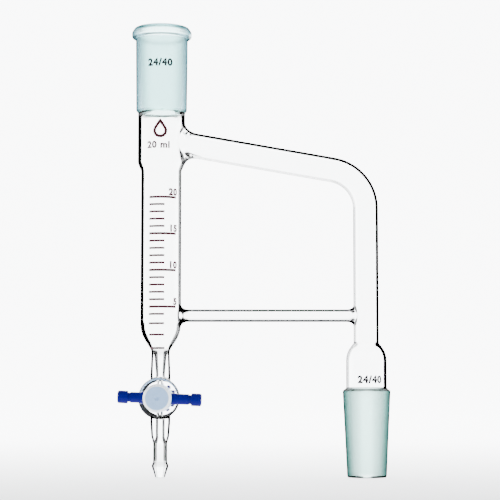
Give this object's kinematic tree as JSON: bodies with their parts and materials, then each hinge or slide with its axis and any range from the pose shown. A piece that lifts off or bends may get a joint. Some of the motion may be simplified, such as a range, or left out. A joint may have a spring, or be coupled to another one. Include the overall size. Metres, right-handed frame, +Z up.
{
  "type": "light oil distilling trap",
  "caption": "Glass oil-distilling trap: graduated receiver with ground socket and stopcock, sloped vapour arm, down-tube with ground cone and a thin return tube.",
  "frame": {"origin": "on the axis of the flask cone at its lower end", "axes": "+Z up along the flask cone and the receiver, -X towards the receiver, -Y towards the stopcock handle"},
  "size_m": [0.1351, 0.0583, 0.227],
  "materials": {
    "borosilicate_glass": "clear, fire polished",
    "ground_glass": "ground, translucent",
    "ptfe": "waxy white",
    "blue_plastic": "moulded, satin gloss",
    "rubber": "matt black"
  },
  "bodies": {
    "glass": {"condenser_socket": "ground_glass", "receiver_neck": "borosilicate_glass", "graduated_tube": "borosilicate_glass", "receiver_base": "borosilicate_glass", "upper_stem": "borosilicate_glass", "stopcock_barrel": "borosilicate_glass", "lower_stem": "borosilicate_glass", "drip_tip": "borosilicate_glass", "vapour_arm": "borosilicate_glass", "vapour_bend": "borosilicate_glass", "down_tube": "borosilicate_glass", "cone_shoulder": "borosilicate_glass", "flask_cone": "ground_glass", "return_tube": "borosilicate_glass"},
    "plug": {"stopcock_plug": "ptfe", "plug_handle": "blue_plastic"},
    "tension_set": {"tension_washer": "ptfe", "tension_oring": "rubber"},
    "nut": {"tension_nut": "blue_plastic"}
  },
  "joints": [
    {"name": "plug_turn", "type": "hinge", "parent": "glass", "child": "plug", "pos_m": [-0.1033, 0, 0.0394], "axis": [0, 1, 0], "continuous": true},
    {"name": "tension_slide", "type": "slide", "parent": "plug", "child": "tension_set", "axis": [0, 1, 0], "range_m": [0, 0.0026]},
    {"name": "nut_turn", "type": "hinge", "parent": "tension_set", "child": "nut", "pos_m": [-0.1033, 0, 0.0394], "axis": [0, 1, 0], "range_deg": [0, 720]}
  ],
  "couplings": [
    {"joint": "tension_slide", "follows": "nut_turn", "m_per_rad": 0.00019894}
  ]
}
